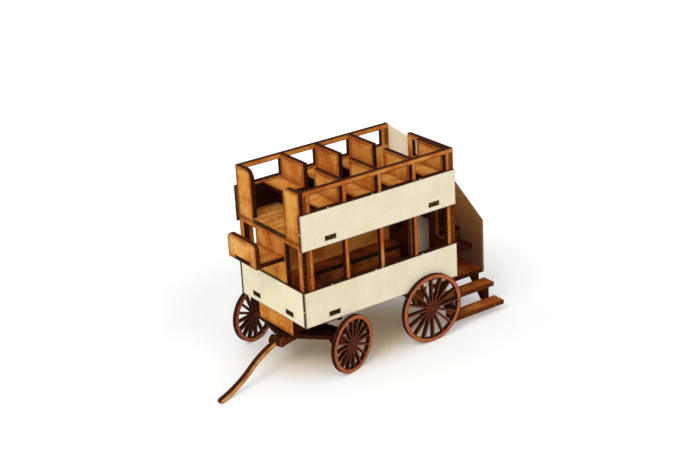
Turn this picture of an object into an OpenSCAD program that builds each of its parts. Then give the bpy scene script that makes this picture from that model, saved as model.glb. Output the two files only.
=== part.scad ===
// Scale model of a double-deck horse-drawn omnibus, a kit of MDF sheet and card panels.
// X points forward to the pole, Y to the left, Z up. The origin is on the ground, on the
// centre line, under the front of the side frames.

/* [Sheets] */
// Thickness of the MDF sheet
sheet = 2; // [1.6:0.1:2.4]
// Thickness of the card panels
card = 1; // [0.6:0.1:1.4]
// Length of a locating tab
tab = 5.6; // [4:0.2:7]
// Clearance between a tab and its slot
slot_gap = 0.05; // [0.02:0.01:0.1]
// Radial clearance of a bore that turns on a pin
running_gap = 0.06; // [0.03:0.01:0.1]

/* [Body] */
// Length of the side frames
body_length = 80; // [74:1:90]
// Width over the side frames
body_width = 49; // [46:1:54]
// Height of the benches' underside above the ground
bench_z = 28.6; // [28:0.2:32]
// Headroom between the benches and the deck
headroom = 33; // [30:0.5:37]
// Height of the top rail above the deck
rail_height = 22; // [20:0.5:25]
// Depth of the top rail
rail = 2.2; // [1.6:0.2:3]
// How far the side frames hang below the benches
skirt = 2.6; // [1.6:0.2:2.8]
// Height of the lower card panels
lower_card_h = 16.2; // [14:0.2:18]
// Height of the upper card panels
upper_card_h = 16.4; // [14:0.2:18]
// How far the upper card hangs below the deck
card_drop = 2.2; // [1:0.2:3]
// Height of the lower card's foot above the frame's foot
card_lift = 0.4; // [0.2:0.1:1]
// Distance of the side tabs from each end of the frames
tab_inset = 12.2; // [10:0.2:15]
// Distance of the front tabs from the frames' outer faces
front_tab_inset = 11.4; // [9:0.2:13]

/* [Windows] */
// Windows along each side
bays = 4; // [3:1:4]
// Width of a post between two windows
post = 2; // [1.6:0.1:3]
// Width of the front post
front_post = 3.4; // [2.6:0.2:5]
// Width of the rear post
rear_post = 4.2; // [3.6:0.2:6]
// Width of the panel between the front windows
front_panel = 23.2; // [18:0.2:26]
// Width of the doorway to the saloon
doorway = 16; // [12:0.5:17]
// Width of the post between the doorway and a rear window
door_post = 4.8; // [2:0.1:6]
// Height of the lintel over the doorway
lintel = 3.6; // [2:0.2:6]

/* [Upper deck] */
// Width of a front wing
wing = 12; // [8:0.5:13]
// Radius of a wing's inner top corner
wing_r = 4; // [2:0.5:6]
// Width of the aisle between the seats
aisle = 8; // [6:0.5:12]
// Height of a seat's top above the deck
seat_height = 11.4; // [9:0.2:13]
// Free space in front of each seat
legroom = 6.4; // [4:0.1:8]
// Gap between a seat's riser and the seat's back
riser_gap = 1; // [0:0.2:3]
// Width of the rear panel
rear_panel_w = 28; // [24:0.5:30]
// Pitch of the scored planks
plank = 5; // [3:0.5:8]
// Width and depth of a scored plank line
score = 0.25; // [0.1:0.05:0.4]

/* [Saloon] */
// Depth of a bench
bench_depth = 9; // [7:0.5:11]
// Setback of a bench's riser from its front edge
bench_setback = 0.6; // [0.2:0.1:1]
// Depth of the sunken floor below the benches
floor_drop = 7; // [5:0.5:8]

/* [Driver] */
// Height of the footplate's underside above the benches
foot_height = 22.4; // [18:0.2:26]
// Length of the footplate
foot_length = 12.5; // [9:0.5:16]
// Width of the footplate
foot_width = 21; // [16:0.5:24]
// Width of the footplate's tabs
foot_tab = 12; // [8:0.5:14]
// Height of the footboard
footboard_h = 11.3; // [9:0.1:15]
// Reach of the footboard past the footplate on each side
footboard_lap = 0.6; // [0.2:0.1:1.5]
// Radius of the footboard's top corners
footboard_r = 3; // [1:0.5:5]

/* [Platform and stairs] */
// Length of the rear platform with its guard
platform_length = 28; // [25:0.5:34]
// Height of the platform's underside above the ground
platform_z = 15.4; // [14.6:0.2:18]
// Height of the guard at its near edge
guard_h = 26.2; // [22:0.2:30]
// Fall of the stair side's top edge from the rail to the guard
stair_fall = 21.4; // [18:0.2:26]
// Height of the first tread above the platform
first_rise = 10.2; // [7:0.2:12]
// Treads in each of the two flights
flight = 3; // [2:1:3]
// Going of a tread in the lower flight
lower_run = 9; // [7:0.2:9.6]
// Width of the stairs
stair_width = 10; // [8:0.5:12]
// Width of an entry step
step_w = 7; // [6:0.2:7.6]
// Reach of the entry steps past the side frames
step_reach = 0.2; // [0:0.1:0.8]
// Fall from the platform to the upper entry step
upper_step_fall = 5; // [4.6:0.1:6]
// Fall from the upper to the lower entry step
lower_step_fall = 6.9; // [5.5:0.1:7]
// Length of the entry steps
step_length = 29.3; // [24:0.1:30]
// Distance of a stringer from the end of the steps
stringer_inset = 3.2; // [1:0.2:5]
// Depth of a stringer's foot under the lower step
stringer_foot = 1.2; // [0.8:0.1:2]
// Setback of a stringer from the edges of the lower step
stringer_setback = 2.4; // [0.6:0.1:2.8]

/* [Wheels] */
// Radius of a rear wheel
rear_wheel_r = 16.2; // [14:0.2:17]
// Radius of a front wheel
front_wheel_r = 13.2; // [12.4:0.1:13.3]
// Spokes of a wheel
spokes = 16; // [12:1:18]
// Width of a rim
rim = 1.9; // [1.4:0.1:3]
// Width of a spoke
spoke = 0.9; // [0.7:0.1:1]
// Diameter of a hub
hub_d = 5.6; // [4.6:0.2:8]
// Radius of an axle
axle_r = 1.2; // [0.8:0.1:1.5]
// Distance of the rear axle from the back of the frames
rear_axle_inset = 16.6; // [15:0.2:22]
// Radius of a bracket's or a cheek's round end at an axle
bracket_r = 2.6; // [2.2:0.1:3]
// Half width of a bracket under the bench
bracket_half = 7; // [4:0.5:10]
// Gap between the card and a rear wheel
wheel_gap = 0.6; // [0.4:0.1:1.5]
// Extra reach of each front wheel past the rear ones
front_spread = 1.5; // [1.2:0.1:3]

/* [Front carriage] */
// Turn of the front carriage to the left
steer = 15.6; // [0:0.2:16]
// Distance of the kingpin behind the front of the frames
king_setback = 11; // [11:0.2:14]
// Radius of the kingpin
king_r = 1.5; // [1:0.1:2]
// Radius of the turntable disc
turntable_r = 9; // [6:0.2:9.6]
// Running gap between the turntable's plates
turntable_gap = 0.2; // [0.1:0.05:0.4]
// Half width of the wishbone at the axle
wishbone_half = 22; // [19:0.5:24]
// Half length of the wishbone's arms at the axle
arm_half = 4; // [3:0.2:6]
// Distance of the axle's cheeks from the ends of the arms
cheek_inset = 2; // [1:0.2:4]
// Gap between the front axle and the wishbone
axle_gap = 0.4; // [0.2:0.1:0.8]
// Gap between the wishbone's nose and the round ends of the pole's cheeks
nose_gap = 0.7; // [0.4:0.1:2]
// Half width of the wishbone's nose
nose_half = 4; // [3.6:0.1:6]
// Gap between the turntable's carrier and the line of the benches' risers
carrier_gap = 0.8; // [0.2:0.1:3]
// How far the carrier's end plates reach below it
carrier_lip = 0.8; // [0.4:0.1:1.2]
// How far the kingpin stands above the carrier
king_proud = 1; // [0.4:0.1:2]

/* [Pole] */
// Distance of the pole's pin ahead of the kingpin
pole_reach = 16.5; // [16.4:0.1:18]
// Radius of the pole's pin
pin_r = 0.8; // [0.5:0.1:1]
// Depth of the pole's pin below the wishbone
pin_drop = 1; // [0.6:0.1:1.6]
// Depth of the pole
pole_depth = 2.2; // [1.6:0.1:3]
// Radius of the pole's knuckle
knuckle_r = 2.1; // [1.7:0.1:2.4]
// Radius of the pole's first bend
pole_bend_r = 46; // [40:1:50]
// Side clearance of the pole in its cheeks
pole_gap = 0.15; // [0.08:0.01:0.3]
// Reach of the pole's cheeks past its knuckle
cheek_lap = 0.2; // [0.1:0.1:0.6]
// Length of the pole's cheeks under the wishbone
cheek_seat = 6; // [4:0.2:8]
// Slope of the pole at its knuckle
slope_in = 6; // [4:1:8]
// Slope of the pole at the middle of its S
slope_mid = 30; // [28:1:34]
// Slope of the pole at its tip
slope_out = 8; // [6:1:10]
// Clearance of the pole's tip above the ground
tip_gap = 0.1; // [0.05:0.05:0.3]

/* [Hidden] */
$fn = 96;
mdf = "peru";
board = "oldlace";
rod = "burlywood";

// Overlap of the shapes that make one sheet
lap = 1;

half = body_width / 2;
inner = half - sheet;
outer = half + card;
frame_z = bench_z - skirt;
bench_top = bench_z + sheet;
floor_z = bench_z - floor_drop;
floor_top = floor_z + sheet;
deck_z = bench_top + headroom;
deck_top = deck_z + sheet;
rail_z = deck_top + rail_height;
lower_card_z = frame_z + card_lift;
sill_z = lower_card_z + lower_card_h;
head_z = deck_z - card_drop;
upper_card_top = head_z + upper_card_h;
tab_x = [-tab_inset, tab_inset - body_length];
front_tab_y = half - front_tab_inset;

window = (body_length - front_post - rear_post - (bays - 1) * post) / bays;
function post_x(i) = -(front_post + i * window + (i - 1) * post);
seat_depth = window + post - sheet - legroom;
seat_top = deck_top + seat_height;

bench_y = inner - bench_depth;
riser_y = bench_y + bench_setback;
rear_tab_y = inner - bench_depth / 2;
end_window_out = half - front_post;

foot_z = bench_top + foot_height;

platform_top = platform_z + sheet;
platform_x = -body_length - platform_length;
guard_x = platform_x + card;
steps_out = half + step_reach;
platform_y = steps_out - 2 * step_w;
corner_z = rail_z - stair_fall;
rise = (deck_top - platform_top - first_rise) / (2 * flight);
first_tread_y = stair_width + lower_run * (flight - 1) - half;
upper_run = (platform_length - card - stair_width) / flight;
step_tops = [platform_top - upper_step_fall, platform_top - upper_step_fall - lower_step_fall];

rear_axle_x = rear_axle_inset - body_length;
rear_inside = outer + wheel_gap;
front_inside = rear_inside + front_spread;

wishbone_z = front_wheel_r + axle_r + axle_gap;
disc_z = wishbone_z + sheet;
carrier_z = disc_z + sheet + turntable_gap;
carrier_foot = carrier_z - carrier_lip;
hanger_x = -2 * king_setback;
well_x = hanger_x - sheet;
carrier_half = riser_y - carrier_gap;
cheek_y = wishbone_half - cheek_inset - sheet;
wishbone_reach = pole_reach - knuckle_r - cheek_lap - nose_gap;
pole_z = wishbone_z - pin_drop;

// The pole is an S of two bows that meet at its middle
bow_lap = 0.2;
bow_reach = 1.3;
function heading(a) = [sin(a), cos(a)];
pole_fall = pole_z - pole_depth / 2 - tip_gap;
fall_in = pole_bend_r * (cos(slope_in) - cos(slope_mid));
tail_r = (pole_fall - fall_in) / (cos(slope_out) - cos(slope_mid));
bend_centre = [pole_reach, pole_z] - pole_bend_r * heading(slope_in);
pole_mid = bend_centre + pole_bend_r * heading(slope_mid);
tail_centre = pole_mid + tail_r * heading(slope_mid);
pole_tip = tail_centre - tail_r * heading(slope_out);

module rect(x0, x1, y0, y1) {
    translate([x0, y0]) square([x1 - x0, y1 - y0]);
}

// A sheet lying flat, from height z up
module flat(z, t) {
    translate([0, 0, z]) linear_extrude(t) children();
}

// A sheet standing lengthwise, from y to the left
module lengthwise(y, t) {
    translate([0, y + t, 0]) rotate([90, 0, 0]) linear_extrude(t) children();
}

// A sheet standing across, from x forward
module across(x, t) {
    translate([x, 0, 0]) rotate([90, 0, 90]) linear_extrude(t) children();
}

module right_side() {
    mirror([0, 1, 0]) children();
}

module both_sides() {
    children();
    right_side() children();
}

// The turned front carriage, with X along its pole and the kingpin at the origin
module steered() {
    translate([-king_setback, 0, 0]) rotate([0, 0, steer]) children();
}

// Slots for the tabs of the benches or the deck, seen from the side
module side_slots(z) {
    for (x = tab_x)
        rect(x - tab / 2 - slot_gap, x + tab / 2 + slot_gap, z - slot_gap, z + sheet + slot_gap);
}

// Slots for tabs at plus and minus y, seen from the front
module end_slots(y, z) {
    for (s = [-1, 1])
        rect(s * y - tab / 2 - slot_gap, s * y + tab / 2 + slot_gap, z - slot_gap, z + sheet + slot_gap);
}

// Tabs through the frames and cards, seen from above
module side_tabs() {
    for (x = tab_x)
        rect(x - tab / 2, x + tab / 2, -outer, outer);
}

// The floor is sunk between the benches, behind the front carriage
module floor() {
    color(mdf) flat(floor_z, sheet) rect(sheet - body_length, well_x, -riser_y, riser_y);
}

module side_frame_left() {
    color(mdf) lengthwise(inner, sheet) difference() {
        rect(-body_length, 0, frame_z, rail_z);
        rect(-body_length - lap, sheet - body_length, frame_z - lap, deck_z);
        for (i = [1:bays]) {
            rect(post_x(i), post_x(i) + window, sill_z, head_z);
            rect(post_x(i), post_x(i) + window, upper_card_top, rail_z - rail);
        }
        side_slots(bench_z);
        side_slots(deck_z);
    }
}

module side_frame_right() {
    right_side() side_frame_left();
}

module lower_card_left() {
    color(board) lengthwise(half, card) difference() {
        rect(-body_length, sheet + card, lower_card_z, sill_z);
        side_slots(bench_z);
    }
}

module lower_card_right() {
    right_side() lower_card_left();
}

module upper_card_left() {
    color(board) lengthwise(half, card) difference() {
        rect(-body_length, sheet + card, head_z, upper_card_top);
        side_slots(deck_z);
    }
}

module upper_card_right() {
    right_side() upper_card_left();
}

// The windows on both sides of a bulkhead, from y outwards
module end_windows(y) {
    for (s = [0, 1])
        mirror([s, 0]) rect(y, end_window_out, sill_z, head_z);
}

module front_bulkhead() {
    color(mdf) across(0, sheet) difference() {
        union() {
            rect(-half, half, frame_z, deck_z);
            rect(-carrier_half, carrier_half, carrier_foot, frame_z + lap);
        }
        end_windows(front_panel / 2);
        end_slots(front_tab_y, bench_z);
        foot_slot();
    }
}

module front_card() {
    color(board) across(sheet, card) difference() {
        rect(-half, half, lower_card_z, sill_z);
        end_slots(front_tab_y, bench_z);
    }
}

module wing_left() {
    color(mdf) across(0, sheet) {
        rect(half - wing + wing_r, half, deck_z, rail_z);
        rect(half - wing, half, deck_z, rail_z - wing_r);
        translate([half - wing + wing_r, rail_z - wing_r]) circle(wing_r);
    }
}

module wing_right() {
    right_side() wing_left();
}

// The slot for one of the footplate's tabs, seen from the front
module foot_slot() {
    rect(-foot_tab / 2 - slot_gap, foot_tab / 2 + slot_gap, foot_z - slot_gap, foot_z + sheet + slot_gap);
}

module footplate() {
    color(mdf) flat(foot_z, sheet) {
        rect(sheet, sheet + foot_length, -foot_width / 2, foot_width / 2);
        rect(0, foot_length + 2 * sheet, -foot_tab / 2, foot_tab / 2);
    }
}

module footboard() {
    wide = foot_width / 2 + footboard_lap;
    top = foot_z + footboard_h;
    color(mdf) across(sheet + foot_length, sheet) difference() {
        union() {
            rect(-wide, wide, foot_z, top - footboard_r);
            rect(footboard_r - wide, wide - footboard_r, foot_z, top);
            for (s = [-1, 1])
                translate([s * (wide - footboard_r), top - footboard_r]) circle(footboard_r);
        }
        foot_slot();
    }
}

module deck() {
    lines = floor(inner / plank);
    tongue = half - wing - slot_gap;
    color(mdf) difference() {
        flat(deck_z, sheet) {
            rect(-body_length, 0, -inner, inner);
            rect(-lap, sheet, -tongue, tongue);
            side_tabs();
        }
        for (k = [-lines:lines])
            flat(deck_top - score, sheet)
                rect(-body_length - lap, sheet + lap, k * plank - score / 2, k * plank + score / 2);
    }
}

// Rows of seats on both sides, with the last row on the left only, beside the stairs
module seat_rows() {
    for (i = [1:bays])
        translate([post_x(i), 0, 0]) children();
    for (i = [1:bays - 1])
        translate([post_x(i), 0, 0]) right_side() children();
}

module seat_backs() {
    color(mdf) seat_rows() flat(deck_top, rail_height) rect(-sheet, 0, aisle / 2, inner);
}

module seat_boards() {
    color(mdf) seat_rows() flat(seat_top - sheet, sheet) rect(0, seat_depth, aisle / 2, inner);
}

module seat_risers() {
    color(mdf) seat_rows() flat(deck_top, seat_height - sheet)
        rect(riser_gap, riser_gap + sheet, aisle / 2, inner);
}

module rear_panel() {
    near = inner - rear_panel_w;
    color(mdf) across(-body_length, sheet) difference() {
        rect(near, inner, deck_top, rail_z);
        rect(near + front_post, inner - front_post, upper_card_top, rail_z - rail);
    }
}

module rear_bulkhead() {
    color(mdf) across(-body_length, sheet) difference() {
        union() {
            rect(-half, half, frame_z, deck_z);
            rect(-half, platform_y, platform_z, frame_z + lap);
            rect(-half, riser_y + sheet, floor_z, frame_z + lap);
        }
        rect(-doorway / 2, doorway / 2, floor_top, deck_z - lintel);
        end_windows(doorway / 2 + door_post);
        end_slots(rear_tab_y, bench_z);
        rect(-tab - slot_gap, tab + slot_gap, platform_z - slot_gap, platform_top + slot_gap);
    }
}

// Both benches are one sheet, which closes the space over the front carriage
module bench_boards() {
    color(mdf) flat(bench_z, sheet) difference() {
        union() {
            rect(sheet - body_length, 0, -inner, inner);
            side_tabs();
            for (s = [-1, 1]) {
                front = s * front_tab_y;
                rear = s * rear_tab_y;
                rect(-lap, sheet + card, front - tab / 2, front + tab / 2);
                rect(-body_length, lap + sheet - body_length, rear - tab / 2, rear + tab / 2);
            }
        }
        rect(-body_length - lap, well_x, -bench_y, bench_y);
    }
}

module bench_risers() {
    color(mdf) both_sides() flat(floor_z, floor_drop)
        rect(sheet - body_length, well_x, riser_y, riser_y + sheet);
}

module platform() {
    color(mdf) flat(platform_z, sheet) {
        rect(guard_x, -body_length, -half, platform_y);
        rect(-body_length - lap, sheet - body_length, -tab, tab);
    }
}

module stair_guard() {
    color(board) across(platform_x, card)
        polygon([[-half, platform_z], [platform_y, platform_z], [platform_y, platform_z + guard_h],
            [-half, corner_z]]);
}

module stair_side() {
    color(board) lengthwise(-outer, card)
        polygon([[platform_x, platform_z], [-body_length, platform_z], [-body_length, rail_z],
            [platform_x, corner_z]]);
}

function tread_top(i) = platform_top + first_rise + (i - 1) * rise;
function lower_y(i) = first_tread_y - (i - 1) * lower_run;
function upper_x(i) = guard_x + stair_width + (i - 1) * upper_run;

module stair_treads() {
    color(mdf) {
        for (i = [1:flight - 1])
            flat(tread_top(i) - sheet, sheet)
                rect(guard_x, guard_x + stair_width, lower_y(i + 1) - sheet, lower_y(i));
        flat(tread_top(flight) - sheet, sheet)
            rect(guard_x, guard_x + stair_width + sheet, -half, lower_y(flight));
        for (i = [1:flight])
            flat(tread_top(flight + i) - sheet, sheet)
                rect(upper_x(i), min(upper_x(i + 1) + sheet, -body_length), -half, stair_width - half);
    }
}

// The space under the first tread is left open
module stair_risers() {
    color(mdf) {
        for (i = [2:flight])
            flat(tread_top(i - 1), rise - sheet)
                rect(guard_x, guard_x + stair_width, lower_y(i) - sheet, lower_y(i));
        for (i = [1:flight])
            flat(tread_top(flight + i - 1), rise - sheet)
                rect(upper_x(i), upper_x(i) + sheet, -half, stair_width - half);
    }
}

module entry_steps() {
    color(mdf) for (i = [0, 1])
        flat(step_tops[i] - sheet, sheet)
            translate([platform_x, platform_y + i * step_w]) square([step_length, step_w]);
}

module stringer() {
    foot = step_tops[1] - sheet - stringer_foot;
    back = platform_y - step_w;
    polygon([[back, platform_z], [platform_y, platform_z], [platform_y, step_tops[0] - sheet],
        [platform_y + step_w, step_tops[0] - sheet], [platform_y + step_w, step_tops[1] - sheet],
        [steps_out - stringer_setback, step_tops[1] - sheet], [steps_out - stringer_setback, foot],
        [platform_y + step_w - stringer_setback, foot]]);
}

module step_stringers() {
    color(mdf) {
        across(platform_x + stringer_inset, sheet) stringer();
        across(platform_x + step_length - stringer_inset - sheet, sheet) stringer();
    }
}

module wheel(r) {
    difference() {
        union() {
            difference() {
                circle(r);
                circle(r - rim);
            }
            circle(hub_d / 2);
            for (k = [0:spokes - 1])
                rotate(k * 360 / spokes) rect(0, r - rim / 2, -spoke / 2, spoke / 2);
        }
        circle(axle_r + running_gap);
    }
}

module rear_axle() {
    reach = rear_inside + sheet;
    color(rod) translate([rear_axle_x, reach, rear_wheel_r]) rotate([90, 0, 0])
        cylinder(h = 2 * reach, r = axle_r);
}

module axle_brackets() {
    drop = bench_z - rear_wheel_r;
    color(mdf) both_sides() lengthwise(riser_y + sheet, sheet)
        translate([rear_axle_x, rear_wheel_r]) difference() {
            union() {
                circle(bracket_r);
                polygon([[-bracket_r, 0], [bracket_r, 0], [bracket_half, drop], [-bracket_half, drop]]);
            }
            circle(axle_r + slot_gap);
        }
}

module rear_wheel_left() {
    color(mdf) translate([rear_axle_x, 0, rear_wheel_r])
        lengthwise(rear_inside, sheet) wheel(rear_wheel_r);
}

module rear_wheel_right() {
    right_side() rear_wheel_left();
}

module carrier_plate() {
    color(mdf) flat(carrier_z, sheet) difference() {
        rect(hanger_x, 0, -carrier_half, carrier_half);
        translate([-king_setback, 0]) circle(king_r + running_gap);
    }
}

module carrier_hanger() {
    color(mdf) across(well_x, sheet) rect(-carrier_half, carrier_half, carrier_foot, bench_z);
}

module wishbone() {
    color(mdf) steered() flat(wishbone_z, sheet) difference() {
        polygon([[-arm_half, -wishbone_half], [arm_half, -wishbone_half], [wishbone_reach, -nose_half],
            [wishbone_reach, nose_half], [arm_half, wishbone_half], [-arm_half, wishbone_half]]);
        circle(king_r + slot_gap);
    }
}

module turntable_disc() {
    color(mdf) steered() flat(disc_z, sheet) difference() {
        circle(turntable_r);
        circle(king_r + slot_gap);
    }
}

module kingpin() {
    color(rod) steered() translate([0, 0, wishbone_z])
        cylinder(h = carrier_z + sheet + king_proud - wishbone_z, r = king_r);
}

module front_axle() {
    reach = front_inside + sheet;
    color(rod) steered() translate([0, reach, front_wheel_r]) rotate([90, 0, 0])
        cylinder(h = 2 * reach, r = axle_r);
}

module front_cheeks() {
    color(mdf) steered() both_sides() lengthwise(cheek_y, sheet) difference() {
            union() {
                translate([0, front_wheel_r]) circle(bracket_r);
                rect(-bracket_r, bracket_r, front_wheel_r, wishbone_z);
            }
            translate([0, front_wheel_r]) circle(axle_r + slot_gap);
            rect(-bracket_r, bracket_r, wishbone_z, wishbone_z + bracket_r);
        }
}

module front_wheel_left() {
    color(mdf) steered() translate([0, 0, front_wheel_r])
        lengthwise(front_inside, sheet) wheel(front_wheel_r);
}

module front_wheel_right() {
    color(mdf) steered() right_side() translate([0, 0, front_wheel_r])
        lengthwise(front_inside, sheet) wheel(front_wheel_r);
}

module pole_cheeks() {
    color(mdf) steered() both_sides() lengthwise(sheet / 2 + pole_gap, sheet) difference() {
            union() {
                translate([pole_reach, pole_z]) circle(knuckle_r + cheek_lap);
                rect(wishbone_reach - cheek_seat, pole_reach, pole_z - knuckle_r, wishbone_z);
            }
            translate([pole_reach, pole_z]) circle(pin_r + slot_gap);
        }
}

module pole_pin() {
    reach = 1.5 * sheet + pole_gap;
    color(rod) steered() translate([pole_reach, reach, pole_z]) rotate([90, 0, 0])
        cylinder(h = 2 * reach, r = pin_r);
}

// Part of a ring about a centre, between two rays from it
module bow(centre, r, ray_a, ray_b) {
    intersection() {
        translate(centre) difference() {
            circle(r + pole_depth / 2, $fn = 360);
            circle(r - pole_depth / 2, $fn = 360);
        }
        polygon([centre, centre + bow_reach * r * ray_a, centre + bow_reach * r * ray_b]);
    }
}

module pole() {
    color(mdf) steered() lengthwise(-sheet / 2, sheet) difference() {
        union() {
            translate([pole_reach, pole_z]) circle(knuckle_r);
            bow(bend_centre, pole_bend_r, heading(slope_in), heading(slope_mid));
            bow(tail_centre, tail_r, -heading(slope_mid + bow_lap), -heading(slope_out));
            translate(pole_tip) circle(pole_depth / 2);
        }
        translate([pole_reach, pole_z]) circle(pin_r + running_gap);
    }
}

floor();
side_frame_left();
side_frame_right();
lower_card_left();
lower_card_right();
upper_card_left();
upper_card_right();
front_bulkhead();
front_card();
wing_left();
wing_right();
footplate();
footboard();
deck();
seat_backs();
seat_boards();
seat_risers();
rear_panel();
rear_bulkhead();
bench_boards();
bench_risers();
platform();
stair_guard();
stair_side();
stair_treads();
stair_risers();
entry_steps();
step_stringers();
rear_axle();
axle_brackets();
carrier_plate();
carrier_hanger();
rear_wheel_left();
rear_wheel_right();
wishbone();
turntable_disc();
kingpin();
front_axle();
front_cheeks();
pole_cheeks();
pole_pin();
front_wheel_left();
front_wheel_right();
pole();
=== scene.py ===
import bpy
import math
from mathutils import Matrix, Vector


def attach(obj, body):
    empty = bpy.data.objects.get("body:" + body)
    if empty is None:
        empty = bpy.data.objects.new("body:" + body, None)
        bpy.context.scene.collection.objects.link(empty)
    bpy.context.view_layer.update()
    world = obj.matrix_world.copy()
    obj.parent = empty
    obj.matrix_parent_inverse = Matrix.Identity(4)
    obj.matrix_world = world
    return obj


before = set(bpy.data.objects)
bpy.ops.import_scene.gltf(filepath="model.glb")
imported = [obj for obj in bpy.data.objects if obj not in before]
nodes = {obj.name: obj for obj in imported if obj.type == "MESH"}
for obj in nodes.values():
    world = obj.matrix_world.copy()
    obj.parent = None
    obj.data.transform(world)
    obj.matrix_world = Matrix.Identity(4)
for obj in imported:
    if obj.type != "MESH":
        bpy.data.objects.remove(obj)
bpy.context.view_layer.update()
print("frame loaded:", len(nodes), "pieces")

mm = 0.001
wide = 1000.0  # mm: a cut or a stain that reaches right through the sheet
faceCosine = 0.6  # a face looks along its sheet's axis by more than this, a cut edge by less
alongBody, acrossBody, upward = (1, 0, 0), (0, 1, 0), (0, 0, 1)
steerTurn = math.radians(15.6)  # the front carriage is turned to the left
steerAxis = (-math.sin(steerTurn), math.cos(steerTurn), 0.0)
spokeCount = 16


# An sRGB hex code as linear red, green and blue, with full alpha
def hexColour(code):
    channels = [int(code[i:i + 2], 16) / 255 for i in (1, 3, 5)]
    linear = [c / 12.92 if c <= 0.04045 else ((c + 0.055) / 1.055) ** 2.4 for c in channels]
    return (*linear, 1.0)


def addNode(tree, kind, values=None, links=None, **settings):
    node = tree.nodes.new(kind)
    for key, value in settings.items():
        setattr(node, key, value)
    for socket, value in (values or {}).items():
        node.inputs[socket].default_value = value
    for socket, source in (links or {}).items():
        tree.links.new(source, node.inputs[socket])
    return node


def startMaterial(name):
    material = bpy.data.materials.new(name)
    material.use_nodes = True
    tree = material.node_tree
    tree.nodes.clear()
    return material, tree


# Ends a matt material: its colour, a fine relief, and a roughness that may follow the grain
def endMaterial(tree, look, colour, relief, grain=None):
    bump = addNode(tree, "ShaderNodeBump",
                   {"Strength": look["bump"], "Distance": look["bumpMm"] * mm}, {"Height": relief})
    values = {"IOR": look["ior"], "Specular IOR Level": look["specular"]}
    links = {"Base Color": colour, "Normal": bump.outputs[0]}
    if grain is None:
        values["Roughness"] = look["roughness"]
    else:
        low, high = look["roughness"]
        rough = addNode(tree, "ShaderNodeMapRange", {3: low, 4: high}, {0: grain})
        links["Roughness"] = rough.outputs[0]
    shader = addNode(tree, "ShaderNodeBsdfPrincipled", values, links)
    addNode(tree, "ShaderNodeOutputMaterial", None, {0: shader.outputs[0]})


def setRamp(node, stops, codes):
    ramp = node.color_ramp
    while len(ramp.elements) < len(stops):
        ramp.elements.new(0.5)  # between the two that a new ramp has
    for element, stop, code in zip(ramp.elements, stops, codes):
        element.position = stop
        element.color = hexColour(code)


def giveMaterial(name, material):
    nodes[name].data.materials.clear()
    nodes[name].data.materials.append(material)


# Lays a tone over a colour, by a share that follows a value between two limits
def tinge(tree, colour, tone, value, limits, shares, ease="LINEAR"):
    share = addNode(tree, "ShaderNodeMapRange",
                    {1: limits[0], 2: limits[1], 3: shares[0], 4: shares[1]}, {0: value},
                    interpolation_type=ease)
    return addNode(tree, "ShaderNodeMix", {7: hexColour(tone)},
                   {0: share.outputs[0], 6: colour}, data_type="RGBA").outputs[2]


def placeInMm(tree):
    coords = addNode(tree, "ShaderNodeTexCoord")
    place = addNode(tree, "ShaderNodeVectorMath", {"Scale": 1 / mm},
                    {0: coords.outputs["Object"]}, operation="SCALE")
    return coords, place.outputs[0]


# Place in millimetres from a centre, straightened by a turn about the upright and laid flat
def flatPlace(tree, place, centre, turn):
    offset = addNode(tree, "ShaderNodeVectorMath", {1: centre}, {0: place}, operation="SUBTRACT")
    straight = addNode(tree, "ShaderNodeMapping", {"Rotation": (0, 0, -turn)},
                       {0: offset.outputs[0]}, vector_type="POINT")
    return addNode(tree, "ShaderNodeVectorMath", {1: (1, 0, 1)}, {0: straight.outputs[0]},
                   operation="MULTIPLY").outputs[0]


# Distance in millimetres from a rectangular cut: positive on the sheet that is left
def cutDistance(tree, place, cut):
    if "pitch" in cut:  # cuts that repeat along an axis
        reach = [p / 2 if p else wide for p in cut["pitch"]]
        low = [c - r for c, r in zip(cut["centre"], reach)]
        high = [c + r for c, r in zip(cut["centre"], reach)]
        place = addNode(tree, "ShaderNodeVectorMath", {1: high, 2: low}, {0: place},
                        operation="WRAP").outputs[0]
    offset = addNode(tree, "ShaderNodeVectorMath", {1: cut["centre"]}, {0: place},
                     operation="SUBTRACT")
    apart = addNode(tree, "ShaderNodeVectorMath", None, {0: offset.outputs[0]},
                    operation="ABSOLUTE")
    past = addNode(tree, "ShaderNodeVectorMath", {1: cut["half"]}, {0: apart.outputs[0]},
                   operation="SUBTRACT")
    parts = addNode(tree, "ShaderNodeSeparateXYZ", None, {0: past.outputs[0]}).outputs
    side = addNode(tree, "ShaderNodeMath", None, {0: parts[0], 1: parts[1]}, operation="MAXIMUM")
    out = addNode(tree, "ShaderNodeMath", None, {0: side.outputs[0], 1: parts[2]},
                  operation="MAXIMUM")
    sign = 1.0 if cut.get("hole") else -1.0
    return addNode(tree, "ShaderNodeMath", {1: sign}, {0: out.outputs[0]},
                   operation="MULTIPLY").outputs[0]


# The pole is a strip of two bows, placed from the kingpin along the turned carriage
poleCurve = {
    "kingpin": (-11.0, 0, 0), "meetMm": 34.69, "depthMm": 2.2,
    "bend": (11.69, 0, -31.95), "bendMm": 46.0, "tail": (61.61, 0, 54.52), "tailMm": 53.84,
}


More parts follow.
